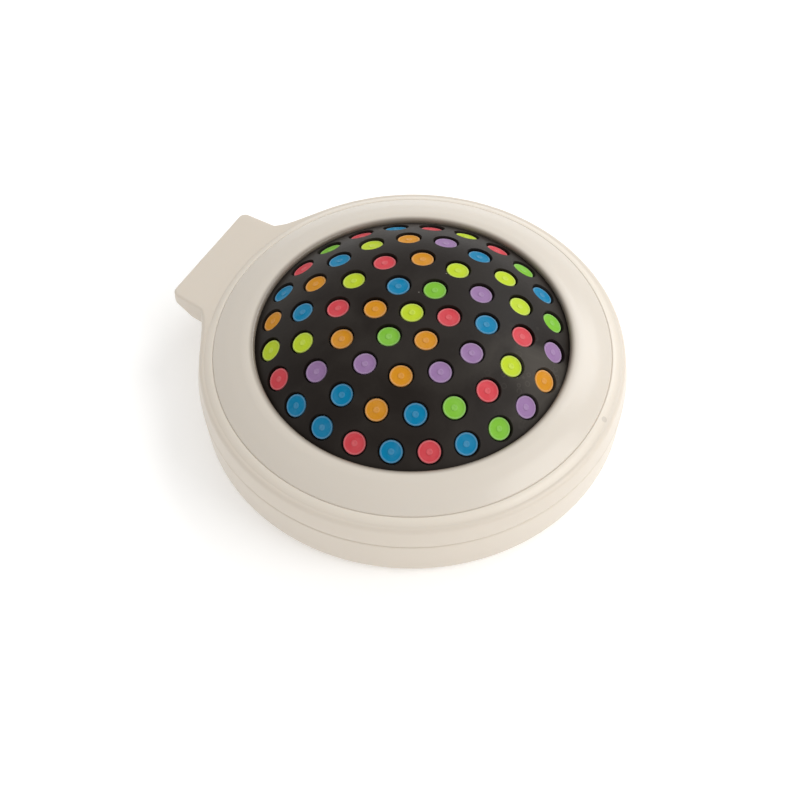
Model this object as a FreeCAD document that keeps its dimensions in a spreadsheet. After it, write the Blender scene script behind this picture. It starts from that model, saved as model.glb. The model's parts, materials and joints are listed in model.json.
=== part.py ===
import FreeCAD, Part
import math
import os

import Sketcher

# A pop-up compact hairbrush: two hinged round shells, a domed rubber pad and one-piece bristles.
# The origin is the centre of the round case on the face that it rests on. +Z points up through
# the domed pad, and the hinge tab points along +Y. Lengths are in millimetres.

Vector = FreeCAD.Vector

tolerance = 0.01

doc = FreeCAD.newDocument("PopUpBrush")
sheet = doc.addObject("Spreadsheet::Sheet", "sizes")

# The driving dimensions, by the piece that they belong to.
SIZES = {
    # outer shells
    "seamRadius": 35.3,
    "rimRadius": 35.0,
    "baseRadius": 34.3,
    "partingHeight": 8.35,
    "rimHeight": 12.3,
    "ledgeHeight": 13.2,
    "mouthRadius": 31.2,
    "rimRound": 0.9,
    "seamRound": 0.35,
    "baseRound": 2.5,
    # dust lip of the mirror half and its groove
    "lipInner": 31.4,
    "lipOuter": 32.2,
    "lipHeight": 0.5,
    "grooveRadius": 32.4,
    "grooveDepth": 0.7,
    "catchLength": 4.0,
    "catchRoot": 0.2,
    "catchClearance": 0.12,
    "catchLow": 0.15,
    "catchHigh": 0.35,
    # mirror and its seat
    "floorThickness": 1.8,
    "adhesiveRadius": 27.0,
    "adhesiveThickness": 0.15,
    "glassRadius": 30.0,
    "glassThickness": 1.8,
    "glassBevel": 0.4,
    "seatClearance": 0.2,
    # shelf, clamped flange and retaining ring
    "shelfTop": 12.5,
    "shelfThickness": 1.2,
    "shelfRadius": 28.4,
    "shelfRootHeight": 10.4,
    "openingRadius": 25.6,
    "openingLipHeight": 15.05,
    "openingTopHeight": 15.75,
    "crestRadius": 27.3,
    "crestHeight": 15.85,
    "ringUndersideRadius": 27.2,
    "ringSeamRadius": 32.45,
    "rebateRadius": 32.55,
    "skirtRadius": 31.25,
    "pegRadius": 0.7,
    "pegLength": 2.0,
    "pegCircle": 31.85,
    "pegCount": 6,
    "pegRoot": 0.3,
    "crestRound": 4.2,
    "bulgeRadius": 30.1,
    "bulgeHeight": 14.6,
    "openingRound": 0.6,
    # rubber pad
    "padApex": 23.4,
    "padDrop": 6.37,
    "padReach": 23.22,
    "padPower": 2.85,
    "padThickness": 2.0,
    "flangeTop": 13.6,
    "flangeRadius": 31.15,
    "footLift": 0.2,
    "footInset": 0.1,
    # one bristle, measured down from the top of its head
    "headSink": 0.42,
    "headRadius": 1.85,
    "headThickness": 0.8,
    "headBevel": 0.25,
    "neckRadius": 0.95,
    "barbRadius": 1.3,
    "barbTop": 2.1,
    "barbBottom": 2.9,
    "stemRadius": 0.8,
    "stemTipRadius": 0.55,
    "ballRadius": 0.85,
    "bristleLength": 14.2,
    "wellClearance": 0.28,
    "boreClearance": 0.02,
    # hinge
    "hingeReach": 38.4,
    "barrelRadius": 2.2,
    "knuckleHalfWidth": 3.0,
    "knuckleGap": 0.2,
    "armRoot": 2.0,
    "earWidth": 3.2,
    "hingePinRadius": 0.8,
    "hingePinLength": 12.4,
    "hingePinBevel": 0.2,
    "runningClearance": 0.05,
    # tab
    "tabReach": 41.0,
    "tabEndHalfWidth": 10.45,
    "tabRootHalfWidth": 10.85,
    "tabInnerHalfWidth": 9.0,
    "shoulderReach": 34.7,
    "wallRadius": 33.5,
    "tabCorner": 1.3,
    "tabRound": 0.4,
    "underReach": 4.7,
    "underRise": 2.3,
    "tabSkin": 1.5,
    "slotClearance": 0.3,
    # how far a cut runs past the face that it opens
    "cutOver": 1.0,
}

for row, (alias, value) in enumerate(SIZES.items(), start=1):
    sheet.set(f"A{row}", alias)
    sheet.set(f"B{row}", str(value))
    sheet.setAlias(f"B{row}", alias)
doc.recompute()


def evaluate(expression):
    """The value of an expression in the sheet's aliases."""
    return float(sheet.evalExpression(str(expression)))


def bound(expression):
    """The same expression as another object has to write it."""
    text = str(expression)
    for alias in sorted(SIZES, key=len, reverse=True):
        text = text.replace(alias, f"@{sorted(SIZES).index(alias)}@")
    for index, alias in enumerate(sorted(SIZES)):
        text = text.replace(f"@{index}@", f"sizes.{alias}")
    return text


def newBody(label):
    body = doc.addObject("PartDesign::Body", label)
    body.Label = label
    return body


def planeOf(body, role):
    return next(item for item in body.Origin.OriginFeatures if item.Role == role)


def pinPoint(sketch, geometry, end, across, up):
    """Ties one end of a line to a place written in the sheet's aliases."""
    for kind, expression in (("DistanceX", across), ("DistanceY", up)):
        index = sketch.addConstraint(
            Sketcher.Constraint(kind, -1, 1, geometry, end, evaluate(expression)))
        if not isinstance(expression, (int, float)):
            sketch.setExpression(f"Constraints[{index}]", bound(expression))


def drawOutline(sketch, corners):
    """A closed outline of straight runs through corners written in the sheet's aliases."""
    places = [Vector(evaluate(across), evaluate(up), 0) for across, up in corners]
    first = sketch.GeometryCount
    for number, place in enumerate(places):
        sketch.addGeometry(Part.LineSegment(place, places[(number + 1) % len(places)]), False)
    for number, (across, up) in enumerate(corners):
        line = first + number
        following = first + (number + 1) % len(corners)
        sketch.addConstraint(Sketcher.Constraint("Coincident", line, 2, following, 1))
        pinPoint(sketch, line, 1, across, up)


def newSketch(body, role, label, lift=None):
    sketch = body.newObject("Sketcher::SketchObject", label)
    sketch.AttachmentSupport = [(planeOf(body, role), "")]
    sketch.MapMode = "FlatFace"
    if lift is not None:
        sketch.setExpression("AttachmentOffset.Base.z", bound(lift))
    return sketch


def revolve(body, corners, label, role="XZ_Plane", axis="V_Axis"):
    sketch = newSketch(body, role, label + "Outline")
    drawOutline(sketch, corners)
    feature = body.newObject("PartDesign::Revolution", label)
    feature.Profile = sketch
    feature.ReferenceAxis = (sketch, [axis])
    feature.Angle = 360
    doc.recompute()
    return feature


def pad(body, sketch, length, label, midplane=False):
    feature = body.newObject("PartDesign::Pad", label)
    feature.Profile = sketch
    feature.setExpression("Length", bound(length))
    feature.Midplane = midplane
    doc.recompute()
    return feature


def pocket(body, sketch, length, label, reverse=False, midplane=False):
    """A pocket that has to take material away, so that its direction can't be wrong unseen."""
    before = body.Shape.Volume
    feature = body.newObject("PartDesign::Pocket", label)
    feature.Profile = sketch
    feature.Reversed = reverse
    feature.Midplane = midplane
    feature.setExpression("Length", bound(length))
    doc.recompute()
    if body.Shape.Volume > before - tolerance:
        raise RuntimeError(f"{label} cuts nothing")
    return feature


def ringEdges(feature, radius, height):
    """The names of the full or part circles of one radius at one height."""
    names = []
    for number, edge in enumerate(feature.Shape.Edges, start=1):
        curve = edge.Curve
        if not isinstance(curve, Part.Circle):
            continue
        if abs(curve.Radius - radius) < tolerance and abs(curve.Center.z - height) < tolerance:
            names.append(f"Edge{number}")
    return names


def edgesWhere(feature, test):
    """The names of the edges whose middle passes the test."""
    names = []
    for number, edge in enumerate(feature.Shape.Edges, start=1):
        middle = edge.valueAt((edge.FirstParameter + edge.LastParameter) / 2)
        if test(edge, middle):
            names.append(f"Edge{number}")
    return names


def roundOff(body, feature, names, radius, label):
    if not names:
        raise RuntimeError(f"{label} has no edges")
    fillet = body.newObject("PartDesign::Fillet", label)
    fillet.Base = (feature, names)
    fillet.setExpression("Radius", bound(radius))
    doc.recompute()
    return fillet


def addCircle(sketch, across, up, radius):
    circle = sketch.addGeometry(
        Part.Circle(Vector(evaluate(across), evaluate(up), 0), Vector(0, 0, 1), evaluate(radius)), False)
    index = sketch.addConstraint(Sketcher.Constraint("Radius", circle, evaluate(radius)))
    sketch.setExpression(f"Constraints[{index}]", bound(radius))
    pinPoint(sketch, circle, 3, across, up)


# ---- mirror half -------------------------------------------------------------------------------
# The lower shell: a shallow dish with a drafted wall, a dust lip and the hinge's middle knuckle.
mirrorCase = newBody("mirror_case")
seatRadius = "glassRadius + seatClearance"
glassTop = "floorThickness + adhesiveThickness + glassThickness"
dish = revolve(mirrorCase, [
    (0, 0),
    ("baseRadius", 0),
    ("seamRadius", "partingHeight"),
    ("lipOuter", "partingHeight"),
    ("lipOuter", "partingHeight + lipHeight"),
    ("lipInner", "partingHeight + lipHeight"),
    ("lipInner", glassTop),
    (seatRadius, glassTop),
    (seatRadius, "floorThickness"),
    (0, "floorThickness"),
], "dish")
foot = roundOff(mirrorCase, dish, ringEdges(dish, evaluate("baseRadius"), 0), "baseRound", "foot")
seamEdge = roundOff(
    mirrorCase, foot,
    ringEdges(foot, evaluate("seamRadius"), evaluate("partingHeight")), "seamRound", "seamEdge")
knuckleSketch = newSketch(mirrorCase, "YZ_Plane", "knuckleOutline")
addCircle(knuckleSketch, "hingeReach", "partingHeight", "barrelRadius")
pad(mirrorCase, knuckleSketch, "2 * knuckleHalfWidth", "knuckle", midplane=True)
armSketch = newSketch(mirrorCase, "YZ_Plane", "armOutline")
drawOutline(armSketch, [
    ("seamRadius - armRoot", "partingHeight - barrelRadius"),
    ("hingeReach", "partingHeight - barrelRadius"),
    ("hingeReach", "partingHeight"),
    ("seamRadius - armRoot", "partingHeight"),
])
pad(mirrorCase, armSketch, "2 * knuckleHalfWidth", "arm", midplane=True)
knuckleBoreSketch = newSketch(mirrorCase, "YZ_Plane", "knuckleBoreOutline")
addCircle(knuckleBoreSketch, "hingeReach", "partingHeight", "hingePinRadius + runningClearance")
pocket(mirrorCase, knuckleBoreSketch, "2 * (knuckleHalfWidth + cutOver)", "knuckleBore", midplane=True)
catchSketch = newSketch(mirrorCase, "YZ_Plane", "catchOutline")
drawOutline(catchSketch, [
    ("0 - lipOuter + catchRoot", "partingHeight"),
    ("0 - grooveRadius + catchClearance", "partingHeight + catchLow"),
    ("0 - grooveRadius + catchClearance", "partingHeight + catchHigh"),
    ("0 - lipOuter + catchRoot", "partingHeight + lipHeight"),
])
pad(mirrorCase, catchSketch, "catchLength", "catch", midplane=True)

adhesive = newBody("mirror_adhesive")
revolve(adhesive, [
    (0, "floorThickness"),
    ("adhesiveRadius", "floorThickness"),
    ("adhesiveRadius", "floorThickness + adhesiveThickness"),
    (0, "floorThickness + adhesiveThickness"),
], "adhesiveDisc")

glass = newBody("mirror_glass")
glassBottom = "floorThickness + adhesiveThickness"
revolve(glass, [
    (0, glassBottom),
    ("glassRadius", glassBottom),
    ("glassRadius", glassTop + " - glassBevel"),
    ("glassRadius - glassBevel", glassTop),
    (0, glassTop),
], "glassDisc")

# ---- brush half --------------------------------------------------------------------------------
# The upper shell: a drafted rim with a shelf for the pad's flange, and the tab over the hinge.
brushCase = newBody("brush_case")
rim = revolve(brushCase, [
    ("grooveRadius", "partingHeight"),
    ("seamRadius", "partingHeight"),
    ("rimRadius", "rimHeight"),
    ("rebateRadius", "ledgeHeight"),
    ("rebateRadius", "shelfTop"),
    ("shelfRadius", "shelfTop"),
    ("shelfRadius", "shelfTop - shelfThickness"),
    ("mouthRadius", "shelfRootHeight"),
    ("mouthRadius", "partingHeight + grooveDepth"),
    ("grooveRadius", "partingHeight + grooveDepth"),
], "rim")
rimEdge = roundOff(
    brushCase, rim, ringEdges(rim, evaluate("rimRadius"), evaluate("rimHeight")), "rimRound", "rimEdge")
underEdge = roundOff(
    brushCase, rimEdge,
    ringEdges(rimEdge, evaluate("seamRadius"), evaluate("partingHeight")), "seamRound", "underEdge")

# The tab stands out over the hinge, with shoulders that run out as tangents to the rim, and its
# underside slopes up to a thin end that clears the knuckle as the brush half swings over.
rootDistance = "(tabRootHalfWidth^2 + shoulderReach^2)"
tangentLength = f"sqrt({rootDistance} - rimRadius^2)"
tangentX = f"(rimRadius * (rimRadius * tabRootHalfWidth + {tangentLength} * shoulderReach) / {rootDistance})"
tangentY = f"(rimRadius * (rimRadius * shoulderReach - {tangentLength} * tabRootHalfWidth) / {rootDistance})"
tabSketch = newSketch(brushCase, "XY_Plane", "tabOutline", "partingHeight")
drawOutline(tabSketch, [
    (f"0 - {tangentX}", tangentY),
    (f"0 - {tangentX} * wallRadius / rimRadius", f"{tangentY} * wallRadius / rimRadius"),
    ("0 - tabInnerHalfWidth", "grooveRadius"),
    ("tabInnerHalfWidth", "grooveRadius"),
    (f"{tangentX} * wallRadius / rimRadius", f"{tangentY} * wallRadius / rimRadius"),
    (tangentX, tangentY),
    ("tabRootHalfWidth", "shoulderReach"),
    ("tabEndHalfWidth", "tabReach"),
    ("0 - tabEndHalfWidth", "tabReach"),
    ("0 - tabRootHalfWidth", "shoulderReach"),
])
tab = pad(brushCase, tabSketch, "rimHeight - partingHeight", "tab")


def isTabCorner(edge, middle):
    upright = abs(edge.tangentAt(edge.FirstParameter).z) > 1 - tolerance
    return upright and middle.y > evaluate("tabReach") - tolerance


def isTabTop(edge, middle):
    atTop = abs(middle.z - evaluate("rimHeight")) < tolerance
    return atTop and middle.y > evaluate("seamRadius + tabRound")


corners = roundOff(brushCase, tab, edgesWhere(tab, isTabCorner), "tabCorner", "tabCorners")
softened = roundOff(brushCase, corners, edgesWhere(corners, isTabTop), "tabRound", "tabTopEdge")
slopeSketch = newSketch(brushCase, "YZ_Plane", "slopeOutline")
drawOutline(slopeSketch, [
    ("tabReach - underReach - cutOver * underReach / underRise", "partingHeight - cutOver"),
    ("tabReach + cutOver", "partingHeight - cutOver"),
    ("tabReach + cutOver", "partingHeight + underRise + cutOver * underRise / underReach"),
])
pocket(brushCase, slopeSketch, "2 * (tabRootHalfWidth + cutOver)", "underSlope", midplane=True)

# A slot under the tab's skin takes the middle knuckle, and two ears hang beside it.
slotHalf = "knuckleHalfWidth + knuckleGap"
slotSketch = newSketch(brushCase, "YZ_Plane", "slotOutline")
drawOutline(slotSketch, [
    ("hingeReach - barrelRadius - slotClearance", "partingHeight - cutOver"),
    ("tabReach + cutOver", "partingHeight - cutOver"),
    ("tabReach + cutOver", "rimHeight - tabSkin"),
    ("hingeReach - barrelRadius - slotClearance", "rimHeight - tabSkin"),
])
pocket(brushCase, slotSketch, f"2 * ({slotHalf})", "slot", midplane=True)
earBlockSketch = newSketch(brushCase, "YZ_Plane", "earBlockOutline", slotHalf)
drawOutline(earBlockSketch, [
    ("hingeReach - barrelRadius", "partingHeight"),
    ("hingeReach + barrelRadius", "partingHeight"),
    ("hingeReach + barrelRadius", "rimHeight - tabSkin"),
    ("hingeReach - barrelRadius", "rimHeight - tabSkin"),
])
earBlock = pad(brushCase, earBlockSketch, "earWidth", "earBlock")
earSketch = newSketch(brushCase, "YZ_Plane", "earOutline", slotHalf)
addCircle(earSketch, "hingeReach", "partingHeight", "barrelRadius")
ear = pad(brushCase, earSketch, "earWidth", "ear")
otherEar = brushCase.newObject("PartDesign::Mirrored", "otherEar")
otherEar.Originals = [earBlock, ear]
otherEar.MirrorPlane = (planeOf(brushCase, "YZ_Plane"), [""])
brushCase.Tip = otherEar
doc.recompute()
earBoreSketch = newSketch(brushCase, "YZ_Plane", "earBoreOutline")
addCircle(earBoreSketch, "hingeReach", "partingHeight", "hingePinRadius")
pocket(brushCase, earBoreSketch, f"2 * ({slotHalf} + earWidth)", "earBore", midplane=True)
pegHoleSketch = newSketch(brushCase, "XY_Plane", "pegHoleOutline", "shelfTop")
addCircle(pegHoleSketch, "pegCircle", 0, "pegRadius + runningClearance")
pegHole = pocket(brushCase, pegHoleSketch, "pegLength + runningClearance", "pegHole")
pegHoles = brushCase.newObject("PartDesign::PolarPattern", "pegHoles")
pegHoles.Originals = [pegHole]
pegHoles.Axis = (planeOf(brushCase, "Z_Axis"), [""])
pegHoles.Angle = 360
pegHoles.setExpression("Occurrences", "sizes.pegCount")
brushCase.Tip = pegHoles
doc.recompute()

# The retaining ring: a sloping face, a soft crest, a rolled opening, and pegs into the shelf.
padRing = newBody("pad_ring")
bezel = revolve(padRing, [
    ("ringUndersideRadius", "flangeTop"),
    ("skirtRadius", "flangeTop"),
    ("skirtRadius", "shelfTop"),
    ("ringSeamRadius", "shelfTop"),
    ("ringSeamRadius", "ledgeHeight"),
    ("bulgeRadius", "bulgeHeight"),
    ("crestRadius", "crestHeight"),
    ("openingRadius", "openingTopHeight"),
    ("openingRadius", "openingLipHeight"),
], "bezel")
crest = roundOff(
    padRing, bezel, ringEdges(bezel, evaluate("crestRadius"), evaluate("crestHeight")), "crestRound", "crest")
opening = roundOff(
    padRing, crest,
    ringEdges(crest, evaluate("openingRadius"), evaluate("openingTopHeight")), "openingRound", "opening")
pegSketch = newSketch(padRing, "XY_Plane", "pegOutline", "shelfTop - pegLength")
addCircle(pegSketch, "pegCircle", 0, "pegRadius")
peg = pad(padRing, pegSketch, "pegLength + pegRoot", "peg")
pegs = padRing.newObject("PartDesign::PolarPattern", "pegs")
pegs.Originals = [peg]
pegs.Axis = (planeOf(padRing, "Z_Axis"), [""])
pegs.Angle = 360
pegs.setExpression("Occurrences", "sizes.pegCount")
padRing.Tip = pegs
doc.recompute()

# The hinge pin lies along X, pressed into the ears and free in the knuckle.
hingePin = newBody("hinge_pin")
pinEnd = "hingePinLength / 2"
rod = revolve(hingePin, [
    (f"0 - {pinEnd}", 0),
    (f"0 - {pinEnd}", "hingePinRadius - hingePinBevel"),
    (f"0 - {pinEnd} + hingePinBevel", "hingePinRadius"),
    (f"{pinEnd} - hingePinBevel", "hingePinRadius"),
    (pinEnd, "hingePinRadius - hingePinBevel"),
    (pinEnd, 0),
], "rod", axis="H_Axis")
hingePin.setExpression("Placement.Base.y", bound("hingeReach"))
hingePin.setExpression("Placement.Base.z", bound("partingHeight"))

# ---- bristles ----------------------------------------------------------------------------------
# One bristle's half outline: the flat head, neck, barb, tapered stem and the ball at its tip.
bristleOutline = doc.addObject("Sketcher::SketchObject", "bristleOutline")
bristleOutline.Placement = FreeCAD.Placement(Vector(0, 0, 0), FreeCAD.Rotation(Vector(1, 0, 0), 90))
ballCentre = -evaluate("bristleLength - ballRadius")
stemEnd = ballCentre + math.sqrt(evaluate("ballRadius") ** 2 - evaluate("stemTipRadius") ** 2)
bristleCorners = [
    (0, 0),
    ("headRadius - headBevel", 0),
    ("headRadius", "0 - headBevel"),
    ("headRadius", "0 - headThickness"),
    ("neckRadius", "0 - headThickness"),
    ("neckRadius", "0 - barbTop"),
    ("barbRadius", "0 - barbTop"),
    ("stemRadius", "0 - barbBottom"),
    ("stemTipRadius", "0 - bristleLength + ballRadius + sqrt(ballRadius^2 - stemTipRadius^2)"),
]
places = [Vector(evaluate(across), evaluate(up), 0) for across, up in bristleCorners]
for number in range(len(places) - 1):
    bristleOutline.addGeometry(Part.LineSegment(places[number], places[number + 1]), False)
    pinPoint(bristleOutline, number, 1, *bristleCorners[number])
lastRun = len(places) - 2
pinPoint(bristleOutline, lastRun, 2, *bristleCorners[-1])
for number in range(lastRun):
    bristleOutline.addConstraint(Sketcher.Constraint("Coincident", number, 2, number + 1, 1))
ballCircle = Part.Circle(Vector(0, ballCentre, 0), Vector(0, 0, 1), evaluate("ballRadius"))
ballStart = math.atan2(stemEnd - ballCentre, evaluate("stemTipRadius"))
ball = bristleOutline.addGeometry(Part.ArcOfCircle(ballCircle, -math.pi / 2, ballStart), False)
bristleOutline.addConstraint(Sketcher.Constraint("Coincident", ball, 2, lastRun, 2))
pinPoint(bristleOutline, ball, 3, 0, "0 - bristleLength + ballRadius")
axisLine = bristleOutline.addGeometry(Part.LineSegment(
    Vector(0, ballCentre - evaluate("ballRadius"), 0), Vector(0, 0, 0)), False)
bristleOutline.addConstraint(Sketcher.Constraint("Coincident", axisLine, 1, ball, 1))
bristleOutline.addConstraint(Sketcher.Constraint("Coincident", axisLine, 2, 0, 1))
bristleOutline.addConstraint(Sketcher.Constraint("Vertical", axisLine))
doc.recompute()

# The heads sit in rings round the apex. Each ring lists its colours from firstAngle on,
# counter-clockwise seen from above.
firstAngle = -6.0
RINGS = [
    ("centre", 0.0, ["lime"]),
    ("centre", 5.98, ["green", "blue", "orange", "green", "orange", "red"]),
    ("centre", 12.14, ["lime", "orange", "red", "lime", "red", "orange",
                       "purple", "orange", "purple", "purple", "blue", "purple"]),
    ("middle", 18.07, ["blue", "purple", "orange", "lime", "blue", "orange", "blue", "lime", "purple",
                       "blue", "orange", "blue", "green", "red", "lime", "red", "lime", "lime"]),
    ("outer", 23.22, ["red", "lime", "red", "blue", "red", "green", "red", "blue", "orange", "lime",
                      "red", "blue", "blue", "red", "blue", "red", "blue", "green", "purple", "orange",
                      "purple", "green", "blue", "green"]),
]


def padTop(reach):
    """The height of the pad's outer face at a distance from the axis."""
    share = reach / evaluate("padReach")
    return evaluate("padApex") - evaluate("padDrop") * share ** evaluate("padPower")


def padSlope(reach):
    """How far the pad's face leans at a distance from the axis, in radians."""
    share = reach / evaluate("padReach")
    steepness = evaluate("padDrop") * evaluate("padPower") / evaluate("padReach")
    return math.atan(steepness * share ** (evaluate("padPower") - 1))


def seat(reach, degrees):
    """The place of a bristle whose head is sunk a little below the pad's face."""
    angle = math.radians(degrees)
    lean = padSlope(reach)
    outward = Vector(math.cos(angle), math.sin(angle), 0)
    normal = outward * math.sin(lean) + Vector(0, 0, math.cos(lean))
    place = outward * reach + Vector(0, 0, padTop(reach)) - normal * evaluate("headSink")
    tangent = Vector(-math.sin(angle), math.cos(angle), 0)
    return FreeCAD.Placement(place, FreeCAD.Rotation(tangent, math.degrees(lean)))


def newBristle(label, placement):
    bristle = doc.addObject("Part::Revolution", label)
    bristle.Label = label
    bristle.Source = bristleOutline
    bristle.Axis = Vector(0, 0, 1)
    bristle.Base = Vector(0, 0, 0)
    bristle.Angle = 360
    bristle.Solid = True
    bristle.Placement = placement
    return bristle


bristles = []
centreByColour = {}
seats = []
for area, reach, colours in RINGS:
    for number, colour in enumerate(colours, start=1):
        placement = seat(reach, firstAngle + (number - 1) * 360.0 / len(colours))
        seats.append(placement)
        if area == "centre":
            group = centreByColour.setdefault(colour, [])
            group.append(newBristle(f"centre_{colour}_{len(group) + 1}", placement))
        else:
            bristles.append(newBristle(f"bristle_{area}_{number:02d}", placement))
doc.recompute()

centreGroups = []
for colour, group in centreByColour.items():
    compound = doc.addObject("Part::Compound", f"bristles_centre_{colour}")
    compound.Label = f"bristles_centre_{colour}"
    compound.Links = group
    centreGroups.append(compound)

# ---- rubber pad --------------------------------------------------------------------------------
# A domed skin with a flange that the ring clamps, a well for each head and a bore for each neck.
domeEnd = evaluate("padReach") * (
    (evaluate("padApex - flangeTop") / evaluate("padDrop")) ** (1 / evaluate("padPower")))
domeSteps = 14
outerPoints = []
innerPoints = []
for step in range(domeSteps + 1):
    reach = domeEnd * step / domeSteps
    lean = padSlope(reach)
    thickness = evaluate("padThickness")
    outerPoints.append(Vector(reach, 0, padTop(reach)))
    innerPoints.append(Vector(
        reach - thickness * math.sin(lean), 0, padTop(reach) - thickness * math.cos(lean)))
innerPoints = [point for point in innerPoints if point.z > evaluate("shelfTop + footLift")]
innerPoints.append(Vector(evaluate("openingRadius - footInset"), 0, evaluate("shelfTop")))


def throughPoints(points):
    curve = Part.BSplineCurve()
    curve.interpolate(points)
    return curve.toShape()


flangeCorners = [
    outerPoints[-1],
    Vector(evaluate("flangeRadius"), 0, evaluate("flangeTop")),
    Vector(evaluate("flangeRadius"), 0, evaluate("shelfTop")),
    innerPoints[-1],
]
padEdges = [throughPoints(outerPoints), throughPoints(innerPoints)]
for start, end in zip(flangeCorners, flangeCorners[1:]):
    padEdges.append(Part.makeLine(start, end))
padEdges.append(Part.makeLine(innerPoints[0], outerPoints[0]))
padFace = Part.Face(Part.Wire(Part.__sortEdges__(padEdges)))
padSkin = padFace.revolve(Vector(0, 0, 0), Vector(0, 0, 1), 360)

wellFloor = evaluate("headThickness + boreClearance")
wellRadius = evaluate("headRadius + wellClearance")
boreRadius = evaluate("neckRadius + boreClearance")
boreDepth = evaluate("padThickness + 2 * cutOver")
cutters = []
for placement in seats:
    well = Part.makeCylinder(wellRadius, wellFloor + evaluate("cutOver"), Vector(0, 0, -wellFloor))
    bore = Part.makeCylinder(boreRadius, boreDepth, Vector(0, 0, -boreDepth))
    cutter = well.fuse(bore)
    cutter.Placement = placement
    cutters.append(cutter)
rubberPad = doc.addObject("Part::Feature", "rubber_pad")
rubberPad.Label = "rubber_pad"
rubberPad.Shape = padSkin.cut(cutters)
doc.recompute()

# ---- checks and export -------------------------------------------------------------------------
pieces = [mirrorCase, adhesive, glass, brushCase, padRing, rubberPad, hingePin]
pieces += centreGroups + bristles
for item in doc.Objects:
    if "Invalid" in item.State or "Error" in item.State:
        raise RuntimeError(f"{item.Name} is {item.State}")
for piece in pieces:
    if piece.Shape.isNull() or not piece.Shape.isValid():
        raise RuntimeError(f"{piece.Label} has no valid shape")

os.makedirs("parts", exist_ok=True)
for piece in pieces:
    piece.Shape.exportStep(f"parts/{piece.Label}.step")
    print(f"{piece.Label}: {piece.Shape.Volume:.2f} mm3, {len(piece.Shape.Solids)} solid(s)")
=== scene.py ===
import json
import math
import random

import bmesh
import bpy
from mathutils import Matrix, Vector
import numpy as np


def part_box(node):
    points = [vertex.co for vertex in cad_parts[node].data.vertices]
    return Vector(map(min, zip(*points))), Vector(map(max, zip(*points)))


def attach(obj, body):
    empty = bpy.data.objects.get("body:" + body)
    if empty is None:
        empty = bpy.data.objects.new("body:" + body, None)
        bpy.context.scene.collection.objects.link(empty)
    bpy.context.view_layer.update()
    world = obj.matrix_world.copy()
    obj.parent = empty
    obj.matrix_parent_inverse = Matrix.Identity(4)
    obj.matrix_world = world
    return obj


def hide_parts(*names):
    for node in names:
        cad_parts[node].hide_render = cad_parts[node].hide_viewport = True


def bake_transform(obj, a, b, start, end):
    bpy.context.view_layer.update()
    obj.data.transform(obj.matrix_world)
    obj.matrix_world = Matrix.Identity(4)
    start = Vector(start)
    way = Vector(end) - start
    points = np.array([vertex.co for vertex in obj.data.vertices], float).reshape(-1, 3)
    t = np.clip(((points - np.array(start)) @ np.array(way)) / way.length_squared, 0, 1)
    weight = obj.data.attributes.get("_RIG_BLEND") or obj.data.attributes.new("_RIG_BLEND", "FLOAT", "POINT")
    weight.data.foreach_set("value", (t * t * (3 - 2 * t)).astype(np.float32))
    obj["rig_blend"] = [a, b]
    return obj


# A pop-up compact hairbrush. Sizes in the dictionaries are millimetres unless a note says otherwise.
mm = 0.001
weld = 0.002  # vertices closer than this are merged
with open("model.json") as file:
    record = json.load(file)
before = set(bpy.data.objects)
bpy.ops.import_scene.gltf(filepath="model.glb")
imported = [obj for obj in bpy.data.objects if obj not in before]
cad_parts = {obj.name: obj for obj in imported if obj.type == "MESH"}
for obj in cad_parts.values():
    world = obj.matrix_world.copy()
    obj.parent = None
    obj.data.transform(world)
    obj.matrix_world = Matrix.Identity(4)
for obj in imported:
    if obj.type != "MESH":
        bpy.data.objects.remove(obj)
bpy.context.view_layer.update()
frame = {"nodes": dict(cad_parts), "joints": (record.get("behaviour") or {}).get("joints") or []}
print("frame loaded")

scene = bpy.context.scene


def inMm(value):
    return value / mm


def deselectAll():
    if bpy.context.object and bpy.context.object.mode != "OBJECT":
        bpy.ops.object.mode_set(mode="OBJECT")
    bpy.ops.object.select_all(action="DESELECT")


def pick(piece):
    deselectAll()
    piece.select_set(True)
    bpy.context.view_layer.objects.active = piece


def settle(piece):
    # place, turn and size go into the mesh, so that the object sits at the origin
    pick(piece)
    bpy.ops.object.transform_apply(location=True, rotation=True, scale=True)
    return piece


def smooth(piece, degrees=32):
    pick(piece)
    bpy.ops.object.shade_smooth_by_angle(angle=math.radians(degrees))
    return piece


def rounded(corners, closed=False):
    # corners are (across, up, radius, steps); a radius of 0 keeps the corner sharp
    points = []
    count = len(corners)
    for number, (x, y, radius, steps) in enumerate(corners):
        isEnd = not closed and number in (0, count - 1)
        here = Vector((x, y))
        if radius == 0 or isEnd:
            points.append(here)
            continue
        back = (Vector(corners[number - 1][:2]) - here).normalized()
        ahead = (Vector(corners[(number + 1) % count][:2]) - here).normalized()
        half = back.angle(ahead) / 2
        reach = radius / math.tan(half)
        centre = here + (back + ahead).normalized() * (radius / math.sin(half))
        first = here + back * reach - centre
        last = here + ahead * reach - centre
        sweep = first.angle_signed(last)
        for step in range(steps + 1):
            turned = first.copy()
            turned.rotate(Matrix.Rotation(-sweep * step / steps, 2))
            points.append(centre + turned)
    return points


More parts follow.
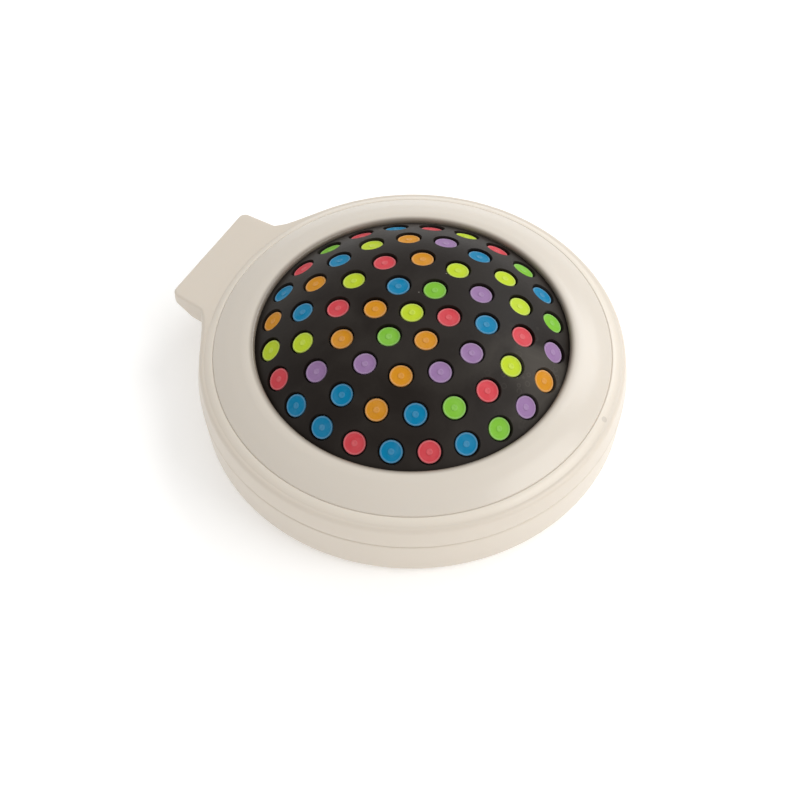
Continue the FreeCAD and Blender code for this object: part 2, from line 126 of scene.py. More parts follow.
def turn(name, points, steps, closed=False):
    # a lathe: one vertex is drawn out along the profile, and the profile is spun round Z
    deselectAll()
    bpy.ops.mesh.primitive_plane_add(size=mm)
    piece = bpy.context.object
    piece.name = name
    bpy.ops.object.mode_set(mode="EDIT")
    bpy.ops.mesh.select_all(action="SELECT")
    bpy.ops.mesh.merge(type="CENTER")
    start = Vector((points[0][0] * mm, 0, points[0][1] * mm))
    bpy.ops.transform.translate(value=start)
    runs = list(points) + ([points[0]] if closed else [])
    for here, there in zip(runs, runs[1:]):
        step = ((there[0] - here[0]) * mm, 0, (there[1] - here[1]) * mm)
        bpy.ops.mesh.extrude_vertices_move(TRANSFORM_OT_translate={"value": step})
    bpy.ops.mesh.select_all(action="SELECT")
    bpy.ops.mesh.spin(steps=steps, angle=2 * math.pi, center=(0, 0, 0), axis=(0, 0, 1))
    bpy.ops.mesh.select_all(action="SELECT")
    bpy.ops.mesh.remove_doubles(threshold=weld * mm)
    bpy.ops.mesh.normals_make_consistent(inside=False)
    bpy.ops.object.mode_set(mode="OBJECT")
    return piece


def combine(piece, others, operation):
    for other in others:
        modifier = piece.modifiers.new(operation.lower(), "BOOLEAN")
        modifier.operation = operation
        modifier.solver = "EXACT"
        modifier.object = other
        pick(piece)
        bpy.ops.object.modifier_apply(modifier=modifier.name)
        bpy.data.objects.remove(other)
    return piece


def block(name, low, high, edge=0.0, segments=3):
    # a box between two corners, its edges rounded
    deselectAll()
    middle = [(a + b) / 2 * mm for a, b in zip(low, high)]
    bpy.ops.mesh.primitive_cube_add(size=1, location=middle)
    piece = bpy.context.object
    piece.name = name
    piece.scale = [(b - a) * mm for a, b in zip(low, high)]
    settle(piece)
    if edge:
        bpy.ops.object.mode_set(mode="EDIT")
        bpy.ops.mesh.select_all(action="SELECT")
        bpy.ops.mesh.bevel(offset=edge * mm, segments=segments, affect="EDGES")
        bpy.ops.object.mode_set(mode="OBJECT")
    return piece


def rodAlongX(name, x0, x1, y, z, radius, edge=0.0, sides=64):
    deselectAll()
    bpy.ops.mesh.primitive_cylinder_add(
        vertices=sides, radius=radius * mm, depth=(x1 - x0) * mm,
        location=((x0 + x1) / 2 * mm, y * mm, z * mm), rotation=(0, math.pi / 2, 0))
    piece = bpy.context.object
    piece.name = name
    settle(piece)
    if edge:
        bpy.ops.object.mode_set(mode="EDIT")
        bpy.ops.mesh.select_all(action="DESELECT")
        shape = bmesh.from_edit_mesh(piece.data)
        for side in shape.edges:
            along = abs((side.verts[0].co - side.verts[1].co).normalized().x)
            side.select = along < 0.5 and len(side.link_faces) == 2 and any(
                len(face.verts) > 4 for face in side.link_faces)
        bmesh.update_edit_mesh(piece.data)
        bpy.ops.mesh.bevel(offset=edge * mm, segments=3, affect="EDGES")
        bpy.ops.object.mode_set(mode="OBJECT")
    return piece


def rampCutter(name, half, y, z, over, reach, rise):
    # takes the underside off along a slope that starts reach before y and is rise higher at y
    corners = [(y - reach - over * reach / rise, z - over), (y + over, z - over),
               (y + over, z + rise + over * rise / reach)]
    deselectAll()
    bpy.ops.mesh.primitive_circle_add(vertices=len(corners), radius=mm, fill_type="NGON")
    piece = bpy.context.object
    piece.name = name
    for vertex, corner in zip(piece.data.vertices, corners):
        vertex.co = Vector((-half, *corner)) * mm
    bpy.ops.object.mode_set(mode="EDIT")
    bpy.ops.mesh.select_all(action="SELECT")
    bpy.ops.mesh.extrude_region_move(TRANSFORM_OT_translate={"value": (2 * half * mm, 0, 0)})
    bpy.ops.mesh.select_all(action="SELECT")
    bpy.ops.mesh.normals_make_consistent(inside=False)
    bpy.ops.object.mode_set(mode="OBJECT")
    return piece


def newGroup(name, inputs, outputs):
    tree = bpy.data.node_groups.new(name, "ShaderNodeTree")
    for label, kind, value in inputs:
        socket = tree.interface.new_socket(label, in_out="INPUT", socket_type=kind)
        if value is not None:
            socket.default_value = value
    for label, kind in outputs:
        tree.interface.new_socket(label, in_out="OUTPUT", socket_type=kind)
    entry = tree.nodes.new("NodeGroupInput")
    leave = tree.nodes.new("NodeGroupOutput")
    return tree, entry, leave


def addMath(tree, operation, first, second, clamp=False):
    node = tree.nodes.new("ShaderNodeMath")
    node.operation = operation
    node.use_clamp = clamp
    for socket, value in zip(node.inputs, (first, second)):
        if isinstance(value, (int, float)):
            socket.default_value = value
        else:
            tree.links.new(value, socket)
    return node.outputs[0]


def addRamp(tree, value, low, high):
    node = tree.nodes.new("ShaderNodeMapRange")
    node.interpolation_type = "SMOOTHSTEP"
    node.inputs["From Min"].default_value = low
    node.inputs["From Max"].default_value = high
    tree.links.new(value, node.inputs["Value"])
    return node.outputs["Result"]


def addNoise(tree, vector, scale, detail=3.0, distortion=0.0):
    node = tree.nodes.new("ShaderNodeTexNoise")
    node.inputs["Detail"].default_value = detail
    node.inputs["Distortion"].default_value = distortion
    tree.links.new(vector, node.inputs["Vector"])
    if isinstance(scale, (int, float)):
        node.inputs["Scale"].default_value = scale
    else:
        tree.links.new(scale, node.inputs["Scale"])
    return node.outputs["Fac"]


def makeSpecks():
    # sparse dust: a few cells of a cell pattern each hold one round speck
    tree, entry, leave = newGroup(
        "dustSpecks",
        [("Vector", "NodeSocketVector", None), ("Scale", "NodeSocketFloat", 900.0),
         ("Share", "NodeSocketFloat", 0.1), ("Size", "NodeSocketFloat", 0.16)],
        [("Mask", "NodeSocketFloat")])
    cells = tree.nodes.new("ShaderNodeTexVoronoi")
    tree.links.new(entry.outputs["Vector"], cells.inputs["Vector"])
    tree.links.new(entry.outputs["Scale"], cells.inputs["Scale"])
    spread = tree.nodes.new("ShaderNodeSeparateColor")
    tree.links.new(cells.outputs["Color"], spread.inputs["Color"])
    chosen = addMath(tree, "LESS_THAN", spread.outputs["Red"], entry.outputs["Share"])
    size = addMath(tree, "MULTIPLY", entry.outputs["Size"], spread.outputs["Green"])
    near = addMath(tree, "LESS_THAN", cells.outputs["Distance"], size)
    mask = addMath(tree, "MULTIPLY", chosen, near)
    tree.links.new(mask, leave.inputs["Mask"])
    return tree


handling = {
    "smearDetail": 4.0,
    "smearTwist": 0.6,
    "smearBand": (0.34, 0.80),
    "grainDetail": 2.0,
}


def makeHandling():
    # soft smears left by fingers, and the very fine waviness of a moulded face
    tree, entry, leave = newGroup(
        "handlingMarks",
        [("Vector", "NodeSocketVector", None), ("Smear Scale", "NodeSocketFloat", 60.0),
         ("Grain Scale", "NodeSocketFloat", 900.0)],
        [("Smear", "NodeSocketFloat"), ("Grain", "NodeSocketFloat")])
    cloud = addNoise(tree, entry.outputs["Vector"], entry.outputs["Smear Scale"],
                     handling["smearDetail"], handling["smearTwist"])
    tree.links.new(addRamp(tree, cloud, *handling["smearBand"]), leave.inputs["Smear"])
    grain = addNoise(tree, entry.outputs["Vector"], entry.outputs["Grain Scale"],
                     handling["grainDetail"])
    tree.links.new(grain, leave.inputs["Grain"])
    return tree


specksGroup = makeSpecks()
handlingGroup = makeHandling()


def placeGroup(tree, group, **values):
    node = tree.nodes.new("ShaderNodeGroup")
    node.node_tree = group
    for label, value in values.items():
        socket = node.inputs[label.replace("_", " ")]
        if isinstance(value, (int, float)):
            socket.default_value = value
        else:
            tree.links.new(value, socket)
    return node


def newMaterial(name, roughness):
    material = bpy.data.materials.new(name)
    material.use_nodes = True
    tree = material.node_tree
    shader = tree.nodes["Principled BSDF"]
    shader.inputs["Roughness"].default_value = roughness
    coordinates = tree.nodes.new("ShaderNodeTexCoord")
    return material, tree, shader, coordinates.outputs["Object"]


def mixColours(tree, factor, first, second):
    node = tree.nodes.new("ShaderNodeMix")
    node.data_type = "RGBA"
    if isinstance(factor, (int, float)):
        node.inputs["Factor"].default_value = factor
    else:
        tree.links.new(factor, node.inputs["Factor"])
    for socket, value in zip((node.inputs["A"], node.inputs["B"]), (first, second)):
        if isinstance(value, tuple):
            socket.default_value = (*value, 1.0)
        else:
            tree.links.new(value, socket)
    return node.outputs["Result"]


def addBump(tree, shader, height, strength, distance):
    bump = tree.nodes.new("ShaderNodeBump")
    bump.inputs["Strength"].default_value = strength
    bump.inputs["Distance"].default_value = distance
    tree.links.new(height, bump.inputs["Height"])
    tree.links.new(bump.outputs["Normal"], shader.inputs["Normal"])


def mouldedWhite(name, settings):
    material, tree, shader, place = newMaterial(name, settings["roughness"])
    marks = placeGroup(tree, handlingGroup, Vector=place, Smear_Scale=settings["smearScale"],
                       Grain_Scale=settings["grainScale"])
    dust = placeGroup(tree, specksGroup, Vector=place, Scale=settings["dustScale"],
                      Share=settings["dustShare"], Size=settings["dustSize"])
    worn = addMath(tree, "MULTIPLY", marks.outputs["Smear"], settings["smearTint"])
    toned = mixColours(tree, worn, settings["colour"], settings["smearColour"])
    # painted light by radius: the ring gets painted shade and a painted reflection of the black rubber where
    # it rolls down to the rubber, and the shell's ledge is painted paler as painted light
    flat = tree.nodes.new("ShaderNodeVectorMath")
    flat.operation = "MULTIPLY"
    flat.inputs[1].default_value = (1.0, 1.0, 0.0)
    tree.links.new(place, flat.inputs[0])
    reach = tree.nodes.new("ShaderNodeVectorMath")
    reach.operation = "LENGTH"
    tree.links.new(flat.outputs["Vector"], reach.inputs[0])
    innerStart, innerEnd = settings["paintedLightReach"]
    paintedLightMask = addRamp(tree, reach.outputs["Value"], innerStart * mm, innerEnd * mm)
    withPaintedLight = mixColours(tree, addMath(tree, "MULTIPLY", paintedLightMask, settings["paintedLightTint"]),
                        toned, settings["paintedLightColour"])
    dusty = addMath(tree, "MULTIPLY", dust.outputs["Mask"], settings["dustTint"])
    final = mixColours(tree, dusty, withPaintedLight, settings["dustColour"])
    tree.links.new(final, shader.inputs["Base Color"])
    dulled = addMath(tree, "MULTIPLY", marks.outputs["Smear"], settings["smearRoughness"])
    rough = addMath(tree, "ADD", dulled, settings["roughness"])
    tree.links.new(rough, shader.inputs["Roughness"])
    shader.inputs["Subsurface Weight"].default_value = settings["depth"]
    shader.inputs["Subsurface Radius"].default_value = settings["depthColours"]
    shader.inputs["Subsurface Scale"].default_value = settings["depthReach"] * mm
    shader.inputs["IOR"].default_value = settings["bend"]
    addBump(tree, shader, marks.outputs["Grain"], settings["grainStrength"], settings["grainDepth"] * mm)
    return material


caseFinish = {
    "colour": (0.650, 0.585, 0.505),
    "roughness": 0.30,
    "smearScale": 55.0,
    "smearTint": 0.06,
    "smearColour": (0.570, 0.515, 0.450),
    "smearRoughness": 0.03,
    "grainScale": 700.0,
    "grainStrength": 0.25,
    "dustScale": 420.0,
    "dustShare": 0.012,
    "dustSize": 0.22,
    "dustTint": 0.35,
    "dustColour": (0.36, 0.33, 0.30),
    # painted light: the shell's ledge and everything inside it is painted paler
    "paintedLightReach": (34.3, 33.3),
    "paintedLightTint": 0.6,
    "paintedLightColour": (0.76, 0.70, 0.615),
    "grainDepth": 0.02,
    "bend": 1.52,
    "depth": 0.12,
    "depthReach": 0.8,
    "depthColours": (1.0, 0.8, 0.6),
}
ringFinish = dict(caseFinish, colour=(0.640, 0.585, 0.515), roughness=0.24,
                  smearTint=0.03, smearRoughness=0.02,
                  # painted shade and a painted reflection of the black rubber on the ring's inner roll
                  paintedLightReach=(26.75, 25.75), paintedLightTint=0.95, paintedLightColour=(0.19, 0.155, 0.12))


def makeRubber(settings):
    material, tree, shader, place = newMaterial("padRubber", settings["roughness"])
    marks = placeGroup(tree, handlingGroup, Vector=place, Smear_Scale=settings["smearScale"],
                       Grain_Scale=settings["grainScale"])
    dust = placeGroup(tree, specksGroup, Vector=place, Scale=settings["dustScale"],
                      Share=settings["dustShare"], Size=settings["dustSize"])
    # dried drops leave thin pale rings on one side of the dome
    drops = tree.nodes.new("ShaderNodeTexVoronoi")
    drops.inputs["Scale"].default_value = settings["dropScale"]
    tree.links.new(place, drops.inputs["Vector"])
    fromEdge = addMath(tree, "SUBTRACT", drops.outputs["Distance"], settings["dropRadius"])
    ringWidth = addMath(tree, "ABSOLUTE", fromEdge, 0.0)
    ringMask = addMath(tree, "LESS_THAN", ringWidth, settings["dropWidth"])
    spread = tree.nodes.new("ShaderNodeSeparateColor")
    tree.links.new(drops.outputs["Color"], spread.inputs["Color"])
    chosen = addMath(tree, "LESS_THAN", spread.outputs["Red"], settings["dropShare"])
    distance = tree.nodes.new("ShaderNodeVectorMath")
    distance.operation = "DISTANCE"
    distance.inputs[1].default_value = [value * mm for value in settings["dropPlace"]]
    tree.links.new(place, distance.inputs[0])
    reach = addRamp(tree, distance.outputs["Value"], settings["dropReach"] * mm, 0.0)
    rings = addMath(tree, "MULTIPLY", addMath(tree, "MULTIPLY", ringMask, chosen), reach)
    haze = addMath(tree, "MULTIPLY", marks.outputs["Smear"],
                   addMath(tree, "MULTIPLY", reach, settings["hazeTint"]))
    cloud = addMath(tree, "MULTIPLY", marks.outputs["Smear"], settings["smearTint"])
    toned = mixColours(tree, addMath(tree, "ADD", cloud, haze, clamp=True),
                       settings["colour"], settings["hazeColour"])
    ringed = mixColours(tree, addMath(tree, "MULTIPLY", rings, settings["dropTint"]),
                        toned, settings["hazeColour"])
    dusty = addMath(tree, "MULTIPLY", dust.outputs["Mask"], settings["dustTint"])
    final = mixColours(tree, dusty, ringed, settings["dustColour"])
    tree.links.new(final, shader.inputs["Base Color"])
    dulled = addMath(tree, "MULTIPLY", marks.outputs["Smear"], settings["smearRoughness"])
    tree.links.new(addMath(tree, "ADD", dulled, settings["roughness"]), shader.inputs["Roughness"])
    shader.inputs["Specular IOR Level"].default_value = settings["gloss"]
    shader.inputs["Sheen Weight"].default_value = settings["sheen"]
    shader.inputs["Sheen Roughness"].default_value = settings["sheenRoughness"]
    shader.inputs["Sheen Tint"].default_value = (*settings["sheenColour"], 1.0)
    addBump(tree, shader, marks.outputs["Grain"], settings["grainStrength"], settings["grainDepth"] * mm)
    return material


rubberFinish = {
    "colour": (0.0085, 0.0050, 0.0032),
    "roughness": 0.44,
    "gloss": 0.17,
    "sheen": 0.06,
    "sheenRoughness": 0.35,
    "sheenColour": (1.0, 0.93, 0.86),
    "smearScale": 90.0,
    "smearTint": 0.10,
    "smearRoughness": 0.16,
    "hazeColour": (0.16, 0.145, 0.125),
    "hazeTint": 0.35,
    "grainScale": 1800.0,
    "grainStrength": 0.35,
    "grainDepth": 0.04,
    "dustScale": 520.0,
    "dustShare": 0.15,
    "dustSize": 0.10,
    "dustTint": 0.50,
    "dustColour": (0.45, 0.42, 0.38),
    "dropScale": 620.0,
    "dropRadius": 0.26,
    "dropWidth": 0.045,
    "dropShare": 0.75,
    "dropTint": 0.13,
    "dropPlace": (3.0, -22.0, 17.0),
    "dropReach": 14.0,
}


def makeNylon(name, colour, settings):
    material, tree, shader, place = newMaterial(name, settings["roughness"])
    marks = placeGroup(tree, handlingGroup, Vector=place, Smear_Scale=settings["smearScale"],
                       Grain_Scale=settings["grainScale"])
    pale = tuple(value + (1 - value) * settings["palest"] for value in colour)
    bloom = addMath(tree, "MULTIPLY", marks.outputs["Smear"], settings["smearTint"])
    # painted highlight on each head's rim and a paler gate mark, from the mesh attribute
    edge = tree.nodes.new("ShaderNodeAttribute")
    edge.attribute_name = "paintedRimAndPaleGate"
    paintedRimAndPaleGate = addMath(tree, "MULTIPLY", edge.outputs["Fac"], settings["rimAndGateTint"])
    tree.links.new(mixColours(tree, addMath(tree, "ADD", bloom, paintedRimAndPaleGate, clamp=True), colour, pale),
                   shader.inputs["Base Color"])
    dulled = addMath(tree, "MULTIPLY", marks.outputs["Grain"], settings["smearRoughness"])
    tree.links.new(addMath(tree, "ADD", dulled, settings["roughness"]), shader.inputs["Roughness"])
    shader.inputs["Specular IOR Level"].default_value = settings["gloss"]
    shader.inputs["Subsurface Weight"].default_value = settings["depth"]
    shader.inputs["Subsurface Radius"].default_value = (1.0, 1.0, 1.0)
    shader.inputs["Subsurface Scale"].default_value = settings["depthReach"] * mm
    addBump(tree, shader, marks.outputs["Grain"], settings["grainStrength"], settings["grainDepth"] * mm)
    return material


nylonFinish = {
    "roughness": 0.34,
    "gloss": 0.09,
    "smearScale": 420.0,
    "smearTint": 0.14,
    "palest": 0.20,
    "rimAndGateTint": 0.38,
    "smearRoughness": 0.18,
    "grainScale": 2600.0,
    "grainStrength": 0.3,
    "grainDepth": 0.03,
    "depth": 0.15,
    "depthReach": 0.3,
}
bristleColours = {
    "blue": (0.000, 0.195, 0.380),
    "red": (0.600, 0.058, 0.075),
    "lime": (0.470, 0.600, 0.022),
    "green": (0.190, 0.470, 0.035),
    "orange": (0.600, 0.250, 0.012),
    "purple": (0.290, 0.168, 0.345),
}


mirrorFinish = {
    "roughness": 0.02,
    "silver": (0.90, 0.92, 0.93),
    "smearColour": (0.84, 0.86, 0.87),
    "smearScale": 80.0,
    "smearRoughness": 0.06,
    "grainScale": 900.0,
}


def makeMirror(settings):
    material, tree, shader, place = newMaterial("mirrorSilver", settings["roughness"])
    shader.inputs["Metallic"].default_value = 1.0
    marks = placeGroup(tree, handlingGroup, Vector=place, Smear_Scale=settings["smearScale"],
                       Grain_Scale=settings["grainScale"])
    tree.links.new(mixColours(tree, marks.outputs["Smear"], settings["silver"], settings["smearColour"]),
                   shader.inputs["Base Color"])
    film = addMath(tree, "MULTIPLY", marks.outputs["Smear"], settings["smearRoughness"])
    tree.links.new(addMath(tree, "ADD", film, settings["roughness"]), shader.inputs["Roughness"])
    return material


steelFinish = {
    "dark": (0.50, 0.50, 0.51),
    "bright": (0.66, 0.66, 0.67),
    "drawScale": 400.0,
    "drawStretch": (1.0, 14.0, 14.0),
    "drawRoughness": 0.55,
}


def makeSteel(settings):
    material, tree, shader, place = newMaterial("hingeSteel", settings["drawRoughness"])
    shader.inputs["Metallic"].default_value = 1.0
    stretch = tree.nodes.new("ShaderNodeMapping")
    stretch.inputs["Scale"].default_value = settings["drawStretch"]
    tree.links.new(place, stretch.inputs["Vector"])
    drawn = addNoise(tree, stretch.outputs["Vector"], settings["drawScale"])
    tree.links.new(mixColours(tree, drawn, settings["dark"], settings["bright"]),
                   shader.inputs["Base Color"])
    tree.links.new(addMath(tree, "MULTIPLY", drawn, settings["drawRoughness"]), shader.inputs["Roughness"])
    return material


tapeFinish = {
    "roughness": 0.8,
    "dark": (0.70, 0.69, 0.64),
    "pale": (0.78, 0.77, 0.73),
    "foamScale": 900.0,
}


def makeTape(settings):
    material, tree, shader, place = newMaterial("mirrorTape", settings["roughness"])
    foam = addNoise(tree, place, settings["foamScale"])
    tree.links.new(mixColours(tree, foam, settings["dark"], settings["pale"]), shader.inputs["Base Color"])
    return material


caseWhite = mouldedWhite("caseWhite", caseFinish)
ringWhite = mouldedWhite("ringWhite", ringFinish)
rubberBlack = makeRubber(rubberFinish)
nylon = {name: makeNylon("nylon" + name.title(), colour, nylonFinish)
         for name, colour in bristleColours.items()}
mirrorSilver = makeMirror(mirrorFinish)
hingeSteel = makeSteel(steelFinish)
mirrorTape = makeTape(tapeFinish)
print("materials made")


def finish(piece, material, body, slotName, *nodes):
    piece.data.materials.clear()
    piece.data.materials.append(material)
    if nodes:
        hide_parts(*nodes)
    if body:
        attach(piece, body)
    return piece


parting = inMm(frame["joints"][0]["pos_m"][2])  # the hinge axis lies in the parting plane
hingeY = inMm(frame["joints"][0]["pos_m"][1])
caseLow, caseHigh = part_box("brush_case")
tabEnd = inMm(caseHigh.y)
seamRadius = -inMm(caseLow.y)
ringTop = inMm(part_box("pad_ring")[1].z)
glassTop = inMm(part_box("mirror_glass")[1].z)

hinge = {
    "barrel": 2.2,
    "knuckleHalf": 3.0,
    "slotHalf": 3.2,
    "slotClearance": 0.3,
    "earWidth": 3.2,
    "bore": 0.85,
    "earBore": 0.81,
    "blindEnd": 0.2,
    "edge": 0.25,
    "armRoot": 2.0,
    "cutOver": 1.0,
}


lowerShell = {
    "baseRadius": 34.5,
    "baseRound": 2.1,
    "seamRound": 0.40,
    "lip": (31.4, 32.2, 0.5),
    "seatRadius": 30.2,
    "floor": 1.8,
    "steps": 256,
    "foot": (29.5, 0.12),
}


def makeLowerShell(settings):
    lipInner, lipOuter, lipHeight = settings["lip"]
    seam = settings["seamRound"]
    footInner, footDeep = settings["foot"]
    corners = [
        (0, footDeep, 0, 0),
        (footInner, footDeep, 0.1, 3),
        (footInner + footDeep, 0, 0.1, 3),
        (settings["baseRadius"], 0, settings["baseRound"], 14),
        (seamRadius, parting, seam, 6),
        (lipOuter, parting, 0, 0),
        (lipOuter, parting + lipHeight, 0.15, 3),
        (lipInner, parting + lipHeight, 0.15, 3),
        (lipInner, glassTop, 0.4, 5),
        (settings["seatRadius"], glassTop, 0.12, 3),
        (settings["seatRadius"], settings["floor"], 0, 0),
        (0, settings["floor"], 0, 0),
    ]
    shell = turn("lowerShell", rounded(corners), settings["steps"])
    low = parting - hinge["barrel"]
    arm = block("arm", (-hinge["knuckleHalf"], seamRadius - hinge["armRoot"], low),
                (hinge["knuckleHalf"], hingeY, parting), hinge["edge"])
    knuckle = rodAlongX("knuckle", -hinge["knuckleHalf"], hinge["knuckleHalf"],
                        hingeY, parting, hinge["barrel"], hinge["edge"])
    boreHalf = hinge["knuckleHalf"] + hinge["cutOver"]
    bore = rodAlongX("bore", -boreHalf, boreHalf, hingeY, parting, hinge["bore"])
    combine(shell, [knuckle, arm], "UNION")
    combine(shell, [bore], "DIFFERENCE")
    smooth(shell)
    return finish(shell, caseWhite, "mirror_half", "case_white", "mirror_case")


makeLowerShell(lowerShell)
print("lower shell made")


upperShell = {
    "rimHeight": 12.3,
    "draft": 0.3,
    "rimRound": 0.9,
    "seamRound": 0.40,
    "ledgeStart": (34.0, 12.33),
    "ledgeBulge": (33.45, 12.72),
    "ledgeEnd": (32.95, 13.02),
    "ledgeLip": (32.72, 13.06),
    "seamEdge": (32.53, 12.95),
    "shelfTop": 12.5,
    "shelf": (28.4, 11.3),
    "mouth": (31.2, 10.4),
    "groove": (32.4, 9.05),
    "tabHalf": (10.45, 10.85),
    "shoulderReach": 34.7,
    "shoulderRound": 0.5,
    "tabCorner": 1.3,
    "tabRound": 0.45,
    "stationGap": 1.6,
    "rimStations": 110,
    "tabSkin": 1.5,
    "land": 1.2,
    "seamSteps": 5,
    "rimSteps": 8,
    "underSlope": (4.7, 2.3),
}


def tabOutline(settings):
    # the outline from the tab's tip round to the far side: places, outward directions and
    # how much of the tab's tighter edge each place has
    endHalf, rootHalf = settings["tabHalf"]
    root = Vector((rootHalf, settings["shoulderReach"]))
    toTangent = math.acos(seamRadius / root.length)
    rimStart = math.atan2(root.y, root.x) - toTangent
    touch = seamRadius * Vector((math.cos(rimStart), math.sin(rimStart)))
    corners = [
        (0, tabEnd, 0, 0),
        (endHalf, tabEnd, settings["tabCorner"], 9),
        (root.x, root.y, settings["shoulderRound"], 5),
        (touch.x, touch.y, 0, 0),
    ]
    places = rounded(corners)
    half = []
    for here, there in zip(places, places[1:]):
        pieces = max(1, round((there - here).length / settings["stationGap"]))
        half += [here.lerp(there, step / pieces) for step in range(pieces)]
    for step in range(settings["rimStations"] + 1):
        angle = rimStart - (rimStart + math.pi / 2) * step / settings["rimStations"]
        half.append(seamRadius * Vector((math.cos(angle), math.sin(angle))))
    whole = half + [Vector((-place.x, place.y)) for place in half[-2:0:-1]]
    stations = []
    for number, place in enumerate(whole):
        run = whole[(number + 1) % len(whole)] - whole[number - 1]
        outward = Vector((-run.y, run.x)).normalized()
        if outward.dot(place) < 0:
            outward.negate()
        firmness = (rootHalf + 2 - abs(place.x)) / 2 if place.y > 0 else 0
        stations.append((place, outward, min(1, max(0, firmness))))
    return stations


def makeUpperShell(settings):
    stations = tabOutline(settings)
    seam, rim = settings["seamRound"], settings["rimRound"]
    top = settings["rimHeight"]
    rows = [("circle", settings["groove"][0], parting), ("outline", settings["land"], parting)]
    for step in range(settings["seamSteps"] + 1):
        angle = math.pi / 2 * step / settings["seamSteps"]
        rows.append(("outline", seam * (1 - math.sin(angle)), parting + seam * (1 - math.cos(angle))))
    for step in range(settings["rimSteps"] + 1):
        rows.append(("edge", math.pi / 2 * step / settings["rimSteps"], top))
    rows += [
        ("circle", *settings["ledgeStart"]),
        ("circle", *settings["ledgeBulge"]),
        ("circle", *settings["ledgeEnd"]),
        ("circle", *settings["ledgeLip"]),
        ("circle", *settings["seamEdge"]),
        ("circle", settings["seamEdge"][0], settings["shelfTop"]),
        ("circle", settings["shelf"][0], settings["shelfTop"]),
        ("circle", *settings["shelf"]),
        ("circle", *settings["mouth"]),
        ("circle", settings["mouth"][0], settings["groove"][1]),
        ("circle", *settings["groove"]),
        ("circle", settings["groove"][0], parting),
    ]

    def spot(station, row):
        kind, size, height = row
        place, outward, tightness = stations[station]
        if kind == "outline":
            flat = place - outward * size
        elif kind == "edge":  # the rim's soft edge, which is tighter along the tab
            edge = rim * (1 - tightness) + settings["tabRound"] * tightness
            lean = settings["draft"] * (1 - tightness)
            flat = place - outward * (lean + edge * (1 - math.cos(size)))
            height -= edge * (1 - math.sin(size))
        else:
            flat = place.normalized() * size
        return Vector((flat.x * mm, flat.y * mm, height * mm))

    deselectAll()
    bpy.ops.mesh.primitive_circle_add(vertices=len(stations), radius=seamRadius * mm, fill_type="NOTHING")
    shell = bpy.context.object
    shell.name = "upperShell"
    mark = shell.data.attributes.new("station", "FLOAT", "POINT")
    for number, vertex in enumerate(shell.data.vertices):
        mark.data[number].value = number
        vertex.co = spot(number, rows[0])
    bpy.ops.object.mode_set(mode="EDIT")
    bpy.ops.mesh.select_all(action="SELECT")
    for row in rows[1:]:
        bpy.ops.mesh.extrude_edges_move()
        shape = bmesh.from_edit_mesh(shell.data)
        layer = shape.verts.layers.float["station"]
        for vertex in shape.verts:
            if vertex.select:
                vertex.co = spot(round(vertex[layer]), row)
        bmesh.update_edit_mesh(shell.data)
    bpy.ops.mesh.select_all(action="SELECT")
    bpy.ops.mesh.remove_doubles(threshold=weld * mm)
    bpy.ops.mesh.normals_make_consistent(inside=False)
    bpy.ops.object.mode_set(mode="OBJECT")

    cutOver = hinge["cutOver"]
    underCut = rampCutter("underCut", settings["tabHalf"][1] + cutOver, tabEnd, parting, cutOver,
                          *settings["underSlope"])
    combine(shell, [underCut], "DIFFERENCE")
    slotHalf, barrel = hinge["slotHalf"], hinge["barrel"]
    earOuter = slotHalf + hinge["earWidth"]
    skinBottom = top - settings["tabSkin"]
    slotCut = block("slotCut", (-slotHalf, hingeY - barrel - hinge["slotClearance"], parting - cutOver),
                    (slotHalf, tabEnd + cutOver, skinBottom))
    combine(shell, [slotCut], "DIFFERENCE")
    for side in (-1, 1):
        x0, x1 = sorted((side * slotHalf, side * earOuter))
        ear = rodAlongX("ear", x0, x1, hingeY, parting, barrel, hinge["edge"])
        combine(shell, [ear], "UNION")
    bore = rodAlongX("bore", -earOuter - cutOver / 2, earOuter - hinge["blindEnd"], hingeY, parting,
                     hinge["earBore"])
    combine(shell, [bore], "DIFFERENCE")
    smooth(shell)
    return finish(shell, caseWhite, "brush_half", "case_white", "brush_case")


makeUpperShell(upperShell)
print("upper shell made")


ringShape = {
    "opening": 25.6,
    "lipLow": 15.05,
    "lipTop": 15.85,
    "crestX": 27.4,
    "crestRound": 4.2,
    "bulge": (30.1, 14.6),
    "bulgeRound": 14.0,
    "seamX": 32.54,
    "seamZ": 13.2,
    "seamRound": 0.34,
    "skirtZ": 12.5,
    "underZ": 13.6,
    "underX": 27.2,
    "skirtX": 31.25,
    "steps": 256,
}


def makeRing(settings):
    corners = [
        (settings["underX"], settings["underZ"], 0, 0),
        (settings["skirtX"], settings["underZ"], 0, 0),
        (settings["skirtX"], settings["skirtZ"], 0, 0),
        (settings["seamX"], settings["skirtZ"], 0, 0),
        (settings["seamX"], settings["seamZ"], settings["seamRound"], 5),
        (*settings["bulge"], settings["bulgeRound"], 8),
        (settings["crestX"], ringTop, settings["crestRound"], 14),
        (settings["opening"], settings["lipTop"], 0.6, 8),
        (settings["opening"], settings["lipLow"], 0, 0),
    ]
    ring = turn("retainingRing", rounded(corners, closed=True), settings["steps"], closed=True)
    smooth(ring)
    return finish(ring, ringWhite, "brush_half", "ring_white", "pad_ring")


makeRing(ringShape)
print("retaining ring made")


